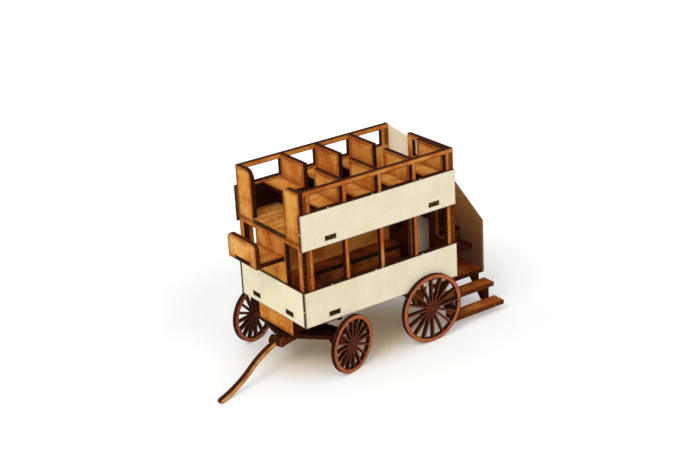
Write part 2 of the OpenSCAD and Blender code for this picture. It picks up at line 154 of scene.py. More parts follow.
# Distance in millimetres from the pole's nearer edge
def poleEdgeDistance(tree, place):
    curve = poleCurve
    flat = flatPlace(tree, place, curve["kingpin"], steerTurn)
    sides = []
    for bow in ("bend", "tail"):
        away = addNode(tree, "ShaderNodeVectorMath", {1: curve[bow]}, {0: flat},
                       operation="DISTANCE")
        past = addNode(tree, "ShaderNodeMath", {1: curve[bow + "Mm"]},
                       {0: away.outputs["Value"]}, operation="SUBTRACT")
        side = addNode(tree, "ShaderNodeMath", None, {0: past.outputs[0]}, operation="ABSOLUTE")
        sides.append(side.outputs[0])
    along = addNode(tree, "ShaderNodeSeparateXYZ", None, {0: flat})
    beyond = addNode(tree, "ShaderNodeMath", {1: curve["meetMm"]}, {0: along.outputs[0]},
                     operation="GREATER_THAN")
    middle = addNode(tree, "ShaderNodeMix", None,
                     {0: beyond.outputs[0], 2: sides[0], 3: sides[1]}, data_type="FLOAT")
    return addNode(tree, "ShaderNodeMath", {0: curve["depthMm"] / 2}, {1: middle.outputs[0]},
                   operation="SUBTRACT").outputs[0]


# 1 on a sheet's two faces and 0 on its cut edges
def faceMask(tree, coords, axis):
    along = addNode(tree, "ShaderNodeVectorMath", {1: axis}, {0: coords.outputs["Normal"]},
                    operation="DOT_PRODUCT")
    size = addNode(tree, "ShaderNodeMath", None, {0: along.outputs["Value"]},
                   operation="ABSOLUTE")
    return addNode(tree, "ShaderNodeMath", {1: faceCosine}, {0: size.outputs[0]},
                   operation="GREATER_THAN").outputs[0]


# 1 on the face that looks towards the middle of the body
def inwardMask(tree, coords, place, axis):
    outward = addNode(tree, "ShaderNodeVectorMath", None,
                      {0: coords.outputs["Normal"], 1: place}, operation="MULTIPLY")
    facing = addNode(tree, "ShaderNodeVectorMath", {1: axis}, {0: outward.outputs[0]},
                     operation="DOT_PRODUCT")
    return addNode(tree, "ShaderNodeMath", {1: 0.0}, {0: facing.outputs["Value"]},
                   operation="LESS_THAN").outputs[0]


mdfLook = {
    "pale": "#E2A452", "warm": "#D68B3C", "deep": "#BE6C28",  # face, from bare to smoke-warmed
    "smoke": "#9E4C18", "scorch": "#60280C", "paintedShade": "#0E0604",  # smoke and scorch beside a cut, and painted deep shade behind a panel
    "char": "#240D06", "ember": "#50240F",  # laser-cut edge
    "patchMm": 9.0, "fibreMm": 1.1, "fleckMm": 0.45,  # fibres drawn coarser than real, to show
    "patchShare": 0.6, "feltStops": (0.4, 0.48, 0.58), "edgeStops": (0.4, 0.7),
    "smokeMm": 3.4, "driftMm": 4.0, "scorchMm": 0.6, "stainShare": 0.8,
    "borderMm": (0.1, 0.3), "borderShare": 0.6,  # a scored border's line and its soft rim
    "lineMm": (-0.1, 0.1), "lineShare": 0.85,
    "fleckLimits": (0.64, 0.74), "fleckShare": 0.4,
    "roughness": (0.52, 0.8), "bump": 0.25, "bumpMm": 0.05, "ior": 1.46, "specular": 0.02,
}


# Laser-cut MDF: a felted golden-brown face, smoke-stained beside each cut, with edges burnt almost
# black, and painted shade where a piece's tint or shade list asks for it
def laserCutMdf(name, piece):
    look = dict(mdfLook, **piece.get("tint", {}))
    material, tree = startMaterial(name)
    coords, place = placeInMm(tree)
    folded = addNode(tree, "ShaderNodeVectorMath", None, {0: place},
                     operation="ABSOLUTE").outputs[0]  # both sides of the body are alike
    face = faceMask(tree, coords, piece["axis"])
    if piece.get("edgesOnTop"):  # risers stand both ways: only tops and undersides are cut edges
        face = addNode(tree, "ShaderNodeMath", {0: 1.0}, {1: face},
                       operation="SUBTRACT").outputs[0]
    patch = addNode(tree, "ShaderNodeTexNoise",
                    {"Scale": 1 / look["patchMm"], "Detail": 3.0, "Roughness": 0.55},
                    {"Vector": place}).outputs["Fac"]
    fibre = addNode(tree, "ShaderNodeTexNoise",
                    {"Scale": 1 / look["fibreMm"], "Detail": 5.0, "Roughness": 0.7},
                    {"Vector": place}).outputs["Fac"]
    fleck = addNode(tree, "ShaderNodeTexNoise", {"Scale": 1 / look["fleckMm"], "Detail": 2.0},
                    {"Vector": place}).outputs["Fac"]

    felt = addNode(tree, "ShaderNodeMath", {1: look["patchShare"]}, {0: patch},
                   operation="MULTIPLY")
    felt = addNode(tree, "ShaderNodeMath", {1: 1 - look["patchShare"]},
                   {0: fibre, 2: felt.outputs[0]}, operation="MULTIPLY_ADD")
    clean = addNode(tree, "ShaderNodeValToRGB", None, {0: felt.outputs[0]})
    setRamp(clean, look["feltStops"], (look["deep"], look["warm"], look["pale"]))
    colour = clean.outputs[0]

    near = poleEdgeDistance(tree, place) if piece.get("bows") else None
    for cut in piece.get("cuts", ()):
        distance = cutDistance(tree, folded, cut)
        near = distance if near is None else addNode(
            tree, "ShaderNodeMath", None, {0: near, 1: distance}, operation="MINIMUM").outputs[0]
    if near is not None:
        uneven = addNode(tree, "ShaderNodeMath",
                         {1: look["driftMm"], 2: -look["driftMm"] / 2}, {0: patch},
                         operation="MULTIPLY_ADD")
        drifted = addNode(tree, "ShaderNodeMath", None, {0: near, 1: uneven.outputs[0]},
                          operation="ADD")
        smoke = addNode(tree, "ShaderNodeMapRange",
                        {1: 0.0, 2: look["smokeMm"], 3: look["stainShare"], 4: 0.0},
                        {0: drifted.outputs[0]}, interpolation_type="SMOOTHSTEP")
        if "cleanInside" in piece:  # the smoke was drawn to the outer face
            inward = inwardMask(tree, coords, place, piece["axis"])
            left = addNode(tree, "ShaderNodeMapRange", {3: 1.0, 4: 1.0 - piece["cleanInside"]},
                           {0: inward})
            smoke = addNode(tree, "ShaderNodeMath", None,
                            {0: smoke.outputs[0], 1: left.outputs[0]}, operation="MULTIPLY")
        colour = addNode(tree, "ShaderNodeMix", {7: hexColour(look["smoke"])},
                         {0: smoke.outputs[0], 6: colour}, data_type="RGBA").outputs[2]
        colour = tinge(tree, colour, look["scorch"], near, (0.0, look["scorchMm"]),
                       (look["stainShare"], 0.0), "SMOOTHSTEP")
        if "border" in piece:  # a line scored round the face
            away = addNode(tree, "ShaderNodeMath", {1: piece["border"]}, {0: near},
                           operation="SUBTRACT")
            apart = addNode(tree, "ShaderNodeMath", None, {0: away.outputs[0]},
                            operation="ABSOLUTE")
            colour = tinge(tree, colour, look["scorch"], apart.outputs[0], look["borderMm"],
                           (look["borderShare"], 0.0))
    for stain in piece.get("shadeAndStains", ()):  # painted shade under the seats and at the foot of the seat backs, with some smoke stain
        depth = cutDistance(tree, folded, stain)
        colour = tinge(tree, colour, look[stain["tone"]], depth, (0.0, stain["soft"]),
                       (0.0, stain["dark"]), "SMOOTHSTEP")
    for line in piece.get("lines", ()):  # straight scored lines, given as thin rectangles
        distance = cutDistance(tree, folded, line)
        colour = tinge(tree, colour, look["scorch"], distance, look["lineMm"],
                       (0.0, look["lineShare"]))
    colour = tinge(tree, colour, look["scorch"], fleck, look["fleckLimits"],
                   (0.0, look["fleckShare"]))

    edge = addNode(tree, "ShaderNodeValToRGB", None, {0: fibre})
    setRamp(edge, look["edgeStops"], (look["char"], look["ember"]))
    surface = addNode(tree, "ShaderNodeMix", None, {0: face, 6: edge.outputs[0], 7: colour},
                      data_type="RGBA")
    endMaterial(tree, look, surface.outputs[2], felt.outputs[0], fibre)
    return material


cardLook = {
    "cream": "#EBDFC4", "warm": "#E3D4B4",  # the two tones of the pressed pulp
    "stain": "#D6C9AA", "speck": "#94866C",
    "edge": "#1C0E07", "tan": "#5A361C",  # edge browned by the laser
    "cloudMm": 12.0, "pulpMm": 1.6, "speckMm": 1.4,  # pulp drawn coarser than real, to show
    "rollMm": (1.6, 1.6, 9.0),  # long faint marks of the rolls
    "cloudShare": 0.6, "toneStops": (0.38, 0.58), "edgeStops": (0.4, 0.72),
    "stainLimits": (0.58, 0.76), "stainShare": 0.45,
    "rollLimits": (0.5, 0.75), "rollShare": 0.18,
    "speckLimits": (0.72, 0.8), "speckShare": 0.5,
    "bandMm": 0.45, "bandShare": 0.75,  # the browned rim of a cut
    "paintedShadeShare": 0.95,
    "roughness": (0.7, 0.9), "bump": 0.2, "bumpMm": 0.04, "ior": 1.45, "specular": 0.08,
}


# Cream pulp card: matt, faintly clouded, with a few grey specks and laser-browned edges
def creamCard(name, axis, tint=None, cuts=()):
    look = dict(cardLook, **(tint or {}))
    material, tree = startMaterial(name)
    coords, place = placeInMm(tree)
    face = faceMask(tree, coords, axis)
    cloud = addNode(tree, "ShaderNodeTexNoise", {"Scale": 1 / look["cloudMm"], "Detail": 3.0},
                    {"Vector": place}).outputs["Fac"]
    pulp = addNode(tree, "ShaderNodeTexNoise",
                   {"Scale": 1 / look["pulpMm"], "Detail": 6.0, "Roughness": 0.7},
                   {"Vector": place}).outputs["Fac"]
    speck = addNode(tree, "ShaderNodeTexNoise", {"Scale": 1 / look["speckMm"], "Detail": 1.0},
                    {"Vector": place}).outputs["Fac"]
    drawn = addNode(tree, "ShaderNodeVectorMath", {1: [1 / size for size in look["rollMm"]]},
                    {0: place}, operation="MULTIPLY")
    roll = addNode(tree, "ShaderNodeTexNoise", {"Scale": 1.0, "Detail": 2.0},
                   {"Vector": drawn.outputs[0]}).outputs["Fac"]

    tone = addNode(tree, "ShaderNodeMath", {1: look["cloudShare"]}, {0: cloud},
                   operation="MULTIPLY")
    tone = addNode(tree, "ShaderNodeMath", {1: 1 - look["cloudShare"]},
                   {0: pulp, 2: tone.outputs[0]}, operation="MULTIPLY_ADD")
    base = addNode(tree, "ShaderNodeValToRGB", None, {0: tone.outputs[0]})
    setRamp(base, look["toneStops"], (look["warm"], look["cream"]))
    colour = tinge(tree, base.outputs[0], look["stain"], pulp, look["stainLimits"],
                   (0.0, look["stainShare"]))
    colour = tinge(tree, colour, look["stain"], roll, look["rollLimits"],
                   (0.0, look["rollShare"]))
    colour = tinge(tree, colour, look["speck"], speck, look["speckLimits"],
                   (0.0, look["speckShare"]))

    near = None
    for cut in cuts:
        distance = cutDistance(tree, place, cut)
        joined = "MINIMUM" if cut.get("hole") else "MAXIMUM"
        near = distance if near is None else addNode(
            tree, "ShaderNodeMath", None, {0: near, 1: distance}, operation=joined).outputs[0]
    if near is not None:
        colour = tinge(tree, colour, look["tan"], near, (0.0, look["bandMm"]),
                       (look["bandShare"], 0.0), "SMOOTHSTEP")
    if "paintedShadeHigh" in look:  # painted shade: the inward face is darkened as if it stood in the body's shadow, from one tone at its foot to another higher up
        inward = inwardMask(tree, coords, place, axis)
        paintedShade = addNode(tree, "ShaderNodeMath", {1: look["paintedShadeShare"]}, {0: inward},
                       operation="MULTIPLY")
        height = addNode(tree, "ShaderNodeSeparateXYZ", None, {0: place})
        low, high = look["paintedShadeMm"]
        rise = addNode(tree, "ShaderNodeMapRange", {1: low, 2: high}, {0: height.outputs[2]})
        shadeColour = addNode(tree, "ShaderNodeMix",
                         {6: hexColour(look["paintedShadeLow"]), 7: hexColour(look["paintedShadeHigh"])},
                         {0: rise.outputs[0]}, data_type="RGBA")
        colour = addNode(tree, "ShaderNodeMix", None,
                         {0: paintedShade.outputs[0], 6: colour, 7: shadeColour.outputs[2]},
                         data_type="RGBA").outputs[2]

    edge = addNode(tree, "ShaderNodeValToRGB", None, {0: pulp})
    setRamp(edge, look["edgeStops"], (look["edge"], look["tan"]))
    surface = addNode(tree, "ShaderNodeMix", None, {0: face, 6: edge.outputs[0], 7: colour},
                      data_type="RGBA")
    endMaterial(tree, look, surface.outputs[2], pulp, pulp)
    return material


wheelLook = {
    "face": "#BC6A42", "deep": "#984C2E", "scorch": "#3C150A",
    "char": "#1C0D08", "ember": "#46281A",
    "fibreMm": 0.8, "faceStops": (0.36, 0.62), "edgeStops": (0.38, 0.72),
    "rimMm": 1.9, "scorchMm": 0.5, "scorchShare": 0.75,
    "hubMm": (2.4, 4.4), "hubShare": 0.9,  # dark at the hub, clear again at the second radius
    "spokeMm": 0.9, "coreMm": 0.05, "spokeShares": (0.3, 1.0),  # from a spoke's core to its edge
    "roughness": 0.65, "bump": 0.25, "bumpMm": 0.05, "ior": 1.46, "specular": 0.04,
}


# A laser-cut MDF wheel: its thin rim and spokes are smoked red-brown all over, darkest beside
# the cuts
def laserCutWheel(name, centre, turn, radius):
    look = wheelLook
    material, tree = startMaterial(name)
    coords, place = placeInMm(tree)
    face = faceMask(tree, coords, (-math.sin(turn), math.cos(turn), 0.0))
    flat = flatPlace(tree, place, centre, turn)
    reach = addNode(tree, "ShaderNodeVectorMath", None, {0: flat},
                    operation="LENGTH").outputs["Value"]
    fibre = addNode(tree, "ShaderNodeTexNoise", {"Scale": 1 / look["fibreMm"], "Detail": 4.0},
                    {"Vector": place}).outputs["Fac"]
    base = addNode(tree, "ShaderNodeValToRGB", None, {0: fibre})
    setRamp(base, look["faceStops"], (look["deep"], look["face"]))

    middle = addNode(tree, "ShaderNodeMath", {1: radius - look["rimMm"] / 2}, {0: reach},
                     operation="SUBTRACT")
    across = addNode(tree, "ShaderNodeMath", None, {0: middle.outputs[0]}, operation="ABSOLUTE")
    inside = addNode(tree, "ShaderNodeMath", {0: look["rimMm"] / 2}, {1: across.outputs[0]},
                     operation="SUBTRACT")
    rim = addNode(tree, "ShaderNodeMapRange",
                  {1: 0.0, 2: look["scorchMm"], 3: look["scorchShare"], 4: 0.0},
                  {0: inside.outputs[0]}, interpolation_type="SMOOTHSTEP")
    low, high = look["hubMm"]
    hub = addNode(tree, "ShaderNodeMapRange", {1: low, 2: high, 3: look["hubShare"], 4: 0.0},
                  {0: reach}, interpolation_type="SMOOTHSTEP")

    axes = addNode(tree, "ShaderNodeSeparateXYZ", None, {0: flat})
    angle = addNode(tree, "ShaderNodeMath", None, {0: axes.outputs[2], 1: axes.outputs[0]},
                    operation="ARCTAN2")
    halfPitch = math.pi / spokeCount
    swing = addNode(tree, "ShaderNodeMath", {1: halfPitch, 2: -halfPitch},
                    {0: angle.outputs[0]}, operation="WRAP")
    beside = addNode(tree, "ShaderNodeMath", None, {0: swing.outputs[0], 1: reach},
                     operation="MULTIPLY")
    beside = addNode(tree, "ShaderNodeMath", None, {0: beside.outputs[0]}, operation="ABSOLUTE")
    core, side = look["spokeShares"]
    spoke = addNode(tree, "ShaderNodeMapRange",
                    {1: look["coreMm"], 2: look["spokeMm"] / 2, 3: core, 4: side},
                    {0: beside.outputs[0]})
    within = addNode(tree, "ShaderNodeMath", {1: radius - look["rimMm"]}, {0: reach},
                     operation="LESS_THAN")
    spoke = addNode(tree, "ShaderNodeMath", None, {0: spoke.outputs[0], 1: within.outputs[0]},
                    operation="MULTIPLY")

    dark = addNode(tree, "ShaderNodeMath", None, {0: rim.outputs[0], 1: spoke.outputs[0]},
                   operation="MAXIMUM")
    dark = addNode(tree, "ShaderNodeMath", None, {0: dark.outputs[0], 1: hub.outputs[0]},
                   operation="MAXIMUM")
    colour = addNode(tree, "ShaderNodeMix", {7: hexColour(look["scorch"])},
                     {0: dark.outputs[0], 6: base.outputs[0]}, data_type="RGBA")
    edge = addNode(tree, "ShaderNodeValToRGB", None, {0: fibre})
    setRamp(edge, look["edgeStops"], (look["char"], look["ember"]))
    surface = addNode(tree, "ShaderNodeMix", None,
                      {0: face, 6: edge.outputs[0], 7: colour.outputs[2]}, data_type="RGBA")
    endMaterial(tree, look, surface.outputs[2], fibre)
    return material


dowelLook = {
    "light": "#6A341C", "dark": "#35160C", "grainMm": 0.5, "grainStops": (0.35, 0.65),
    "roughness": 0.55, "bump": 0.2, "bumpMm": 0.03, "ior": 1.46, "specular": 0.1,
}


# Hardwood dowel: a fine wavy grain, stained as dark as the smoked sheets round it
def dowelWood(name):
    look = dowelLook
    material, tree = startMaterial(name)
    place = placeInMm(tree)[1]
    grain = addNode(tree, "ShaderNodeTexNoise",
                    {"Scale": 1 / look["grainMm"], "Detail": 4.0, "Distortion": 0.6},
                    {"Vector": place}).outputs["Fac"]
    tone = addNode(tree, "ShaderNodeValToRGB", None, {0: grain})
    setRamp(tone, look["grainStops"], (look["dark"], look["light"]))
    endMaterial(tree, look, tone.outputs[0], grain)
    return material


# Tones that several sheets share, and each sheet's own: the axis across it, the outline and the
# holes it was cut to, what is scored on it, and the shade and smoke painted on it, all in
# millimetres
bayPitch = (18.6, 0, 0)  # windows and seats repeat along the body
brownEdge = {"char": "#4A200C", "ember": "#7E4219"}  # smoked brown rather than burnt black
mottledEdge = {"char": "#0F0804", "ember": "#4E321A"}  # patchy tan, where the beam ran fast
redFace = {"pale": "#BE7A40", "warm": "#A65C29", "deep": "#8A4019"}
# Painted shade: a darker copy of the MDF for the floor, brackets, carriage and cheeks, which sit
# inside or under the body
paintedShadeFace = {
    "pale": "#94552C", "warm": "#7A3D1B", "deep": "#5C2A10",
    "smoke": "#5A2A12", "scorch": "#34160A",
}
# Painted deep shade: near-black MDF for the seat risers and the wishbone, which sit in deep shade
# under the seats and the body
paintedDeepShadeFace = {
    "pale": "#361C0E", "warm": "#251208", "deep": "#180B05",
    "smoke": "#1E0E06", "scorch": "#120804",
}
# Painted shade: a dark red copy of the MDF for the rear bulkhead, the stairs and the step
# stringers, which stand in the body's shade
darkRedFace = {
    "pale": "#5E2C18", "warm": "#451C0F", "deep": "#2C1109",
    "smoke": "#34150B", "scorch": "#1E0C06",
}
# Painted shade: a darker copy of the MDF for the benches inside the saloon
benchFace = {
    "pale": "#A8632F", "warm": "#8C471F", "deep": "#6A3113",
    "smoke": "#6A3114", "scorch": "#3C180A",
}
sheetPieces = {
    "floor": {"axis": upward, "tint": paintedShadeFace},
    "side_frame_left": {
        "axis": acrossBody, "cleanInside": 0.6,
        "cuts": [
            {"centre": (40, 0, 56.8), "half": (40, wide, 30.8)},
            {"centre": (11.7, 0, 52.0), "half": (8.3, wide, 9.4), "pitch": bayPitch, "hole": True},
            {"centre": (11.7, 0, 81.6), "half": (8.3, wide, 3.8), "pitch": bayPitch, "hole": True}],
        # Painted shade: the inner wall between the deck and the upper windows, under the seats, is
        # darkened nearly black
        "shadeAndStains": [{"centre": (34, 0, 70.2), "half": (38, wide, 7.4), "soft": 1.4,
                    "dark": 0.97, "tone": "paintedShade"}]},
    "front_bulkhead": {
        "axis": alongBody,
        "cuts": [
            {"centre": (0, 0, 40.9), "half": (wide, 24.5, 22.7)},
            {"centre": (0, 16.35, 52.0), "half": (wide, 4.75, 9.4), "hole": True}],
        "lines": [
            {"centre": (0, 0, 22.3), "half": (wide, 13.3, 0.12)},
            {"centre": (0, 10.5, 52.0), "half": (wide, 0.1, 9.4)}]},
    "wing_left": {
        "axis": alongBody, "border": 0.9,
        "cuts": [{"centre": (0, 18.5, 75.6), "half": (wide, 6.0, 12.0)}]},
    "footplate": {
        "axis": upward,
        "cuts": [{"centre": (8.25, 0, 0), "half": (6.25, 10.5, wide)}]},
    "footboard": {
        "axis": alongBody,
        "tint": {"pale": "#EBB066", "warm": "#DE9A4C", "deep": "#C67C36",
                 "char": "#38150A", "ember": "#64301A"},
        "cuts": [{"centre": (0, 0, 58.65), "half": (wide, 11.1, 5.65)}]},
    "deck": {
        "axis": upward, "tint": {"char": "#150B05", "ember": "#6E4E2A"},
        "cuts": [{"centre": (40, 0, 0), "half": (wide, 22.5, wide)}],
        "lines": [{"centre": (0, 0, 0), "half": (wide, 0.2, wide), "pitch": (0, 5, 0)}]},
    "seat_backs": {
        "axis": alongBody, "border": 1.3,
        "cuts": [{"centre": (0, 13.25, 76.6), "half": (wide, 9.25, 11.0)}],
        # Partly painted shade and partly smoke: the backs darken towards their foot, where the seat
        # meets them
        "shadeAndStains": [{"centre": (0, 0, 70.0), "half": (wide, wide, 13.0), "soft": 9.0,
                    "dark": 0.8, "tone": "smoke"}]},
    "seat_boards": {
        "axis": upward,
        "cuts": [{"centre": (14.9, 13.25, 0), "half": (5.1, 9.25, wide), "pitch": bayPitch}]},
    "seat_risers": {"axis": alongBody, "tint": paintedDeepShadeFace},
    "rear_panel": {
        "axis": alongBody,
        "cuts": [{"centre": (0, 0, 76.6), "half": (wide, 22.5, 11.0)}],
        # Partly painted shade and partly smoke: darker towards the foot of the panel
        "shadeAndStains": [{"centre": (0, 0, 70.0), "half": (wide, wide, 14.0), "soft": 9.0,
                    "dark": 0.8, "tone": "smoke"}]},
    "rear_bulkhead": {
        "axis": alongBody, "tint": dict(darkRedFace, **brownEdge),
        "cuts": [
            {"centre": (0, 0, 39.5), "half": (wide, 24.5, 24.1)},
            {"centre": (0, 16.95, 52.0), "half": (wide, 4.15, 9.4), "hole": True},
            {"centre": (0, 0, 41.8), "half": (wide, 8.0, 18.2), "hole": True}]},
    "bench_boards": {
        "axis": upward, "tint": dict(benchFace, **mottledEdge),
        "cuts": [{"centre": (51, 0, 0), "half": (27, 13.5, wide), "hole": True}]},
    "bench_risers": {"axis": acrossBody, "tint": benchFace},
    "platform": {
        "axis": upward, "tint": {"pale": "#A4522A", "warm": "#8C3C19", "deep": "#6C2A10"}},
    "stair_treads": {"axis": upward, "tint": darkRedFace},
    "stair_risers": {"axis": upward, "tint": darkRedFace, "edgesOnTop": True},
    "entry_steps": {
        "axis": upward, "tint": dict(redFace, **brownEdge),
        "cuts": [{"centre": (93.35, 14.2, 0), "half": (14.65, 3.5, wide), "pitch": (0, 7, 0)}]},
    "step_stringers": {"axis": alongBody, "tint": darkRedFace},
    "axle_brackets": {"axis": acrossBody, "tint": paintedShadeFace},
    "carrier_plate": {"axis": upward, "tint": paintedShadeFace},
    "carrier_hanger": {"axis": alongBody, "tint": paintedShadeFace},
    "wishbone": {"axis": upward, "tint": paintedDeepShadeFace},
    "turntable_disc": {"axis": upward, "tint": paintedShadeFace},
    "front_cheeks": {"axis": steerAxis, "tint": paintedShadeFace},
    "pole_cheeks": {"axis": steerAxis, "tint": paintedShadeFace},
    "pole": {
        "axis": steerAxis, "bows": True,
        "tint": {"pale": "#E0AC66", "warm": "#D89A4E", "deep": "#C88440", "smoke": "#A4622C",
                 "char": "#2E160A", "ember": "#5A2E14", "smokeMm": 0.9}},
}
sheetPieces["side_frame_right"] = sheetPieces["side_frame_left"]
sheetPieces["wing_right"] = sheetPieces["wing_left"]
for name, piece in sheetPieces.items():
    giveMaterial(name, laserCutMdf("laserCutMdf_" + name, piece))
print("MDF sheets finished:", len(sheetPieces))

sideCuts = [
    {"centre": (-38.7, 0, 34.5), "half": (41.3, wide, 8.1)},
    {"centre": (-38.7, 0, 69.6), "half": (41.3, wide, 8.2)},
    {"centre": (-12.2, 0, 29.6), "half": (2.8, wide, 1.0), "pitch": (55.6, 0, 35.0), "hole": True},
]
frontCuts = [
    {"centre": (0, 0, 34.5), "half": (wide, 24.3, 8.1)},
    {"centre": (0, -13.1, 29.6), "half": (wide, 2.8, 1.0), "pitch": (0, 26.2, 0), "hole": True},
]
# Painted shade: the side cards' inward faces are dark, as they stand in the shade inside the body
sideTint = {"paintedShadeHigh": "#463726", "paintedShadeLow": "#463726", "paintedShadeMm": (26.0, 78.0)}
# Painted light: a lighter copy of the card, for the stair side that stands in the body's shade
stairTint = {"cream": "#F8E9CC", "warm": "#F0DDB8"}
# Painted light: the front card's cream is a lighter copy of the card; its browned rim is darker and
# wider
frontTint = {"cream": "#F8EFD0", "warm": "#F0E4C0", "tan": "#3E2212", "bandMm": 0.6}
# Painted shade: the guard's inward face is browned as if in the body's shadow and lit by bounce
# from the MDF
guardTint = {
    "paintedShadeHigh": "#C2823C", "paintedShadeLow": "#6C3E1E", "paintedShadeMm": (26.0, 56.0),  # painted shade, darkest at its foot
    "edge": "#6A5230", "tan": "#94784C",
}
sideCard = creamCard("creamCard_sides", acrossBody, sideTint, sideCuts)
stairCard = creamCard("creamCard_stairs", acrossBody, stairTint)
frontCard = creamCard("creamCard_front", alongBody, frontTint, frontCuts)
guardCard = creamCard("creamCard_guard", alongBody, guardTint)
cardPieces = {
    "lower_card_left": sideCard, "lower_card_right": sideCard,
    "upper_card_left": sideCard, "upper_card_right": sideCard,
    "stair_side": stairCard, "front_card": frontCard, "stair_guard": guardCard,
}
for name, material in cardPieces.items():
    giveMaterial(name, material)
print("card panels finished:", len(cardPieces))

rearWheel = laserCutWheel(
    "laserCutMdf_rearWheels", centre=(-63.4, 0, 16.2), turn=0.0, radius=16.2)
frontWheel = laserCutWheel(
    "laserCutMdf_frontWheels", centre=(-11.0, 0, 13.2), turn=steerTurn, radius=13.2)
dowel = dowelWood("hardwoodDowel")
turnedPieces = {
    "rear_wheel_left": rearWheel, "rear_wheel_right": rearWheel,
    "front_wheel_left": frontWheel, "front_wheel_right": frontWheel,
    "rear_axle": dowel, "front_axle": dowel, "kingpin": dowel, "pole_pin": dowel,
}
for name, material in turnedPieces.items():
    giveMaterial(name, material)
print("wheels and dowels finished:", len(turnedPieces))

# Torn stubs left where the cards were snapped out of their sheet: one at mid-height of each
# upright edge, and some along the top and bottom edges
nickLook = {
    "long": 0.4, "deep": 0.32, "thick": 0.24, "torn": 0.35, "tilt": 0.2, "seed": 7,
    "uprightX": (3.0, -80.0), "uprightZ": (69.6, 34.0),
    "alongX": (-12.0, -35.3, -38.9, -61.0), "alongZ": (77.8, 61.4, 42.6, 26.4),
    "cardY": 25.0, "fresh": {"edge": "#D9C9A2", "tan": "#EFE4C6"},
}


def nickTree(material):
    tree = bpy.data.node_groups.new("tornStubs", "GeometryNodeTree")
    sockets = tree.interface
    sockets.new_socket("Geometry", in_out="INPUT", socket_type="NodeSocketGeometry")
    for label in ("Stub Long", "Stub Deep", "Stub Thick", "Torn"):
        sockets.new_socket(label, in_out="INPUT", socket_type="NodeSocketFloat")
    sockets.new_socket("Seed", in_out="INPUT", socket_type="NodeSocketInt")
    sockets.new_socket("Geometry", in_out="OUTPUT", socket_type="NodeSocketGeometry")
    given = addNode(tree, "NodeGroupInput").outputs
    size = addNode(tree, "ShaderNodeCombineXYZ", None,
                   {0: given["Stub Long"], 1: given["Stub Deep"], 2: given["Stub Thick"]})
    ball = addNode(tree, "GeometryNodeMeshIcoSphere", {"Radius": 1.0, "Subdivisions": 2})
    spot = addNode(tree, "GeometryNodeInputPosition")
    rag = addNode(tree, "ShaderNodeTexNoise", {"Scale": 1.7, "Detail": 2.0},
                  {"Vector": spot.outputs[0]})
    noiseMiddle = (0.5, 0.5, 0.5)
    push = addNode(tree, "ShaderNodeVectorMath", {1: noiseMiddle}, {0: rag.outputs["Color"]},
                   operation="SUBTRACT")
    push = addNode(tree, "ShaderNodeVectorMath", None,
                   {0: push.outputs[0], "Scale": given["Torn"]}, operation="SCALE")
    torn = addNode(tree, "GeometryNodeSetPosition", None,
                   {"Geometry": ball.outputs["Mesh"], "Offset": push.outputs[0]})
    tilt = nickLook["tilt"]
    turn = addNode(tree, "FunctionNodeRandomValue",
                   {0: (-tilt, -tilt, -tilt), 1: (tilt, tilt, tilt)},
                   {"Seed": given["Seed"]}, data_type="FLOAT_VECTOR")
    placed = addNode(tree, "GeometryNodeInstanceOnPoints", None,
                     {"Points": given["Geometry"], "Instance": torn.outputs[0],
                      "Rotation": turn.outputs[0], "Scale": size.outputs[0]})
    solid = addNode(tree, "GeometryNodeRealizeInstances", None, {0: placed.outputs[0]})
    dressed = addNode(tree, "GeometryNodeSetMaterial", {"Material": material},
                      {"Geometry": solid.outputs[0]})
    addNode(tree, "NodeGroupOutput", None, {0: dressed.outputs[0]})
    return tree


def makeNicks():
    look = nickLook
    points = []
    for across, up in (("uprightX", "uprightZ"), ("alongX", "alongZ")):
        points += [(x, side * look["cardY"], z)
                   for side in (-1, 1) for x in look[across] for z in look[up]]
    mesh = bpy.data.meshes.new("tornStubs")
    mesh.from_pydata([[v * mm for v in p] for p in points], [], [])
    seed = bpy.data.objects.new("tornStubs_points", mesh)
    bpy.context.scene.collection.objects.link(seed)
    tree = nickTree(creamCard("tornCard", acrossBody, look["fresh"]))
    maker = seed.modifiers.new("tornStubs", "NODES")
    maker.node_group = tree
    sizes = {
        "Stub Long": look["long"] * mm, "Stub Deep": look["deep"] * mm,
        "Stub Thick": look["thick"] * mm, "Torn": look["torn"], "Seed": look["seed"],
    }
    for item in tree.interface.items_tree:
        if item.in_out == "INPUT" and item.name in sizes:
            maker[item.identifier] = sizes[item.name]
    ready = seed.evaluated_get(bpy.context.evaluated_depsgraph_get())
    plain = bpy.data.meshes.new_from_object(ready)
    seed.modifiers.clear()
    bpy.data.objects.remove(seed)
    nicks = bpy.data.objects.new("tornStubs", plain)
    bpy.context.scene.collection.objects.link(nicks)
    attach(nicks, "body")
    print("torn stubs finished:", len(points))


makeNicks()

stageLook = {
    "floorSize": 6.0, "floor": "#F2F3F2", "white": "#FFFFFF", "worldLight": 0.5,
    "under": "#E6C27C",  # painted warm shade: the paper is tinted with the body's colour in an oval about the middle, for its bounced light
    "middle": (-0.04, 0.0, 0.0), "oval": (0.06, 0.034, 1.0),
    "ovalLimits": (0.3, 1.1), "ovalShares": (0.3, 1.0),
    "liftLimits": (0.09, 0.5), "liftShares": (0.22, 1.0),  # metres from the middle
}


# 1 for the rays that the eye follows, and 0 for those that only carry light
def seenByEye(tree):
    path = addNode(tree, "ShaderNodeLightPath")
    seen = path.outputs["Is Camera Ray"]
    for kind in ("Is Glossy Ray", "Is Transmission Ray"):
        seen = addNode(tree, "ShaderNodeMath", None, {0: seen, 1: path.outputs[kind]},
                       operation="MAXIMUM").outputs[0]
    return seen
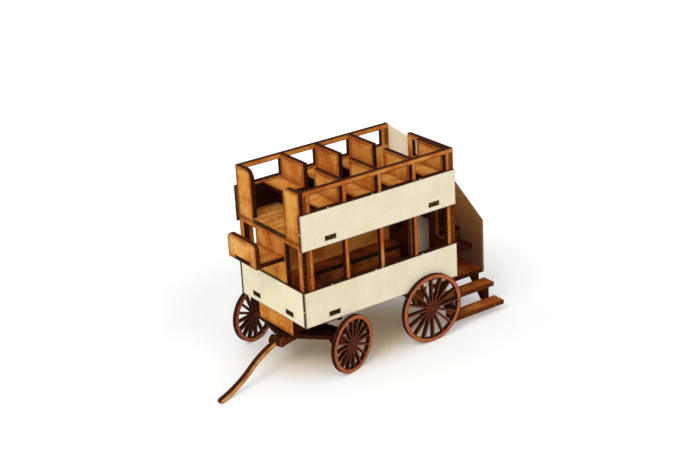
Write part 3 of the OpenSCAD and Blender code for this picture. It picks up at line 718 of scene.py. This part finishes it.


# White paper sweep: to the eye it is lifted to white, the more the further from the object, and to
# the light it is plain pale paper, painted a warm shade tone in an oval under the object
def whitePaper():
    look = stageLook
    material, tree = startMaterial("whitePaper")
    seen = seenByEye(tree)
    coords = addNode(tree, "ShaderNodeTexCoord")
    offset = addNode(tree, "ShaderNodeVectorMath", {1: look["middle"]},
                     {0: coords.outputs["Object"]}, operation="SUBTRACT")
    spread = addNode(tree, "ShaderNodeVectorMath", {1: look["oval"]}, {0: offset.outputs[0]},
                     operation="DIVIDE")
    away = addNode(tree, "ShaderNodeVectorMath", None, {0: spread.outputs[0]},
                   operation="LENGTH")
    low, high = look["ovalLimits"]
    least, most = look["ovalShares"]
    clear = addNode(tree, "ShaderNodeMapRange", {1: low, 2: high, 3: least, 4: most},
                    {0: away.outputs["Value"]}, interpolation_type="SMOOTHSTEP").outputs[0]
    tone = addNode(tree, "ShaderNodeMix",
                   {6: hexColour(look["under"]), 7: hexColour(look["floor"])}, {0: clear},
                   data_type="RGBA")
    spot = addNode(tree, "ShaderNodeVectorMath", None, {0: offset.outputs[0]},
                   operation="LENGTH")
    low, high = look["liftLimits"]
    least, most = look["liftShares"]
    far = addNode(tree, "ShaderNodeMapRange", {1: low, 2: high, 3: least, 4: most},
                  {0: spot.outputs["Value"]})
    lift = addNode(tree, "ShaderNodeMath", None, {0: clear, 1: far.outputs[0]},
                   operation="MULTIPLY")
    glow = addNode(tree, "ShaderNodeMath", None, {0: seen, 1: lift.outputs[0]},
                   operation="MULTIPLY")
    paper = addNode(tree, "ShaderNodeBsdfDiffuse", None, {"Color": tone.outputs[2]})
    gleam = addNode(tree, "ShaderNodeMix",
                    {6: hexColour(look["under"]), 7: hexColour(look["white"])}, {0: clear},
                    data_type="RGBA")
    light = addNode(tree, "ShaderNodeEmission", None,
                    {"Color": gleam.outputs[2], "Strength": glow.outputs[0]})
    both = addNode(tree, "ShaderNodeAddShader", None, {0: paper.outputs[0], 1: light.outputs[0]})
    addNode(tree, "ShaderNodeOutputMaterial", None, {0: both.outputs[0]})
    return material


def makeStage():
    half = stageLook["floorSize"] / 2
    corners = [(-half, -half, 0), (half, -half, 0), (half, half, 0), (-half, half, 0)]
    mesh = bpy.data.meshes.new("floor")
    mesh.from_pydata(corners, [], [(0, 1, 2, 3)])
    floor = bpy.data.objects.new("stageFloor", mesh)
    mesh.materials.append(whitePaper())
    bpy.context.scene.collection.objects.link(floor)
    world = bpy.data.worlds.new("studio")
    bpy.context.scene.world = world
    world.use_nodes = True
    tree = world.node_tree
    tree.nodes.clear()
    seen = seenByEye(tree)
    strength = addNode(tree, "ShaderNodeMapRange", {3: stageLook["worldLight"], 4: 1.0},
                       {0: seen})
    white = addNode(tree, "ShaderNodeBackground", {"Color": hexColour(stageLook["white"])},
                    {"Strength": strength.outputs[0]})
    addNode(tree, "ShaderNodeOutputWorld", None, {0: white.outputs[0]})


# The lamps stand low, so tops are darker than sides: one before the horse end, one at the near
# side and a small one beside the camera, which reaches into the saloon
lampTarget = (-0.04, 0.0, 0.045)
lampDistance = 2.4
lamps = {
    "frontLamp": {"azimuth": 25, "elevation": 45, "size": 1.3, "power": 23.5},
    "sideLamp": {"azimuth": 95, "elevation": 33, "size": 1.3, "power": 10.0},
    "eyeLamp": {"azimuth": 55, "elevation": 22, "size": 0.6, "power": 9.0},
}


def makeLamps():
    for name, lamp in lamps.items():
        a, e = math.radians(lamp["azimuth"]), math.radians(lamp["elevation"])
        back = Vector((math.cos(a) * math.cos(e), math.sin(a) * math.cos(e), math.sin(e)))
        light = bpy.data.lights.new(name, "AREA")
        light.shape = "DISK"
        light.size = lamp["size"]
        light.energy = lamp["power"]
        obj = bpy.data.objects.new(name, light)
        obj.location = Vector(lampTarget) + back * lampDistance
        obj.rotation_euler = (-back).to_track_quat("-Z", "Y").to_euler()
        bpy.context.scene.collection.objects.link(obj)


# The camera that was fitted to the photograph
view = {
    "location": (0.32762, 0.53277, 0.31643), "degrees": (67.664, 2.893, 144.219),
    "lens": 80.67, "sensor": 36.0, "nearest": 0.01,
}


def makeCamera():
    data = bpy.data.cameras.new("photoCamera")
    data.lens = view["lens"]
    data.sensor_width = view["sensor"]
    data.clip_start = view["nearest"]
    camera = bpy.data.objects.new("photoCamera", data)
    camera.location = view["location"]
    camera.rotation_euler = [math.radians(d) for d in view["degrees"]]
    bpy.context.scene.collection.objects.link(camera)
    bpy.context.scene.camera = camera


makeStage()
makeLamps()
makeCamera()
bpy.context.scene.view_settings.view_transform = "Standard"
print("stage, lamps and camera finished")
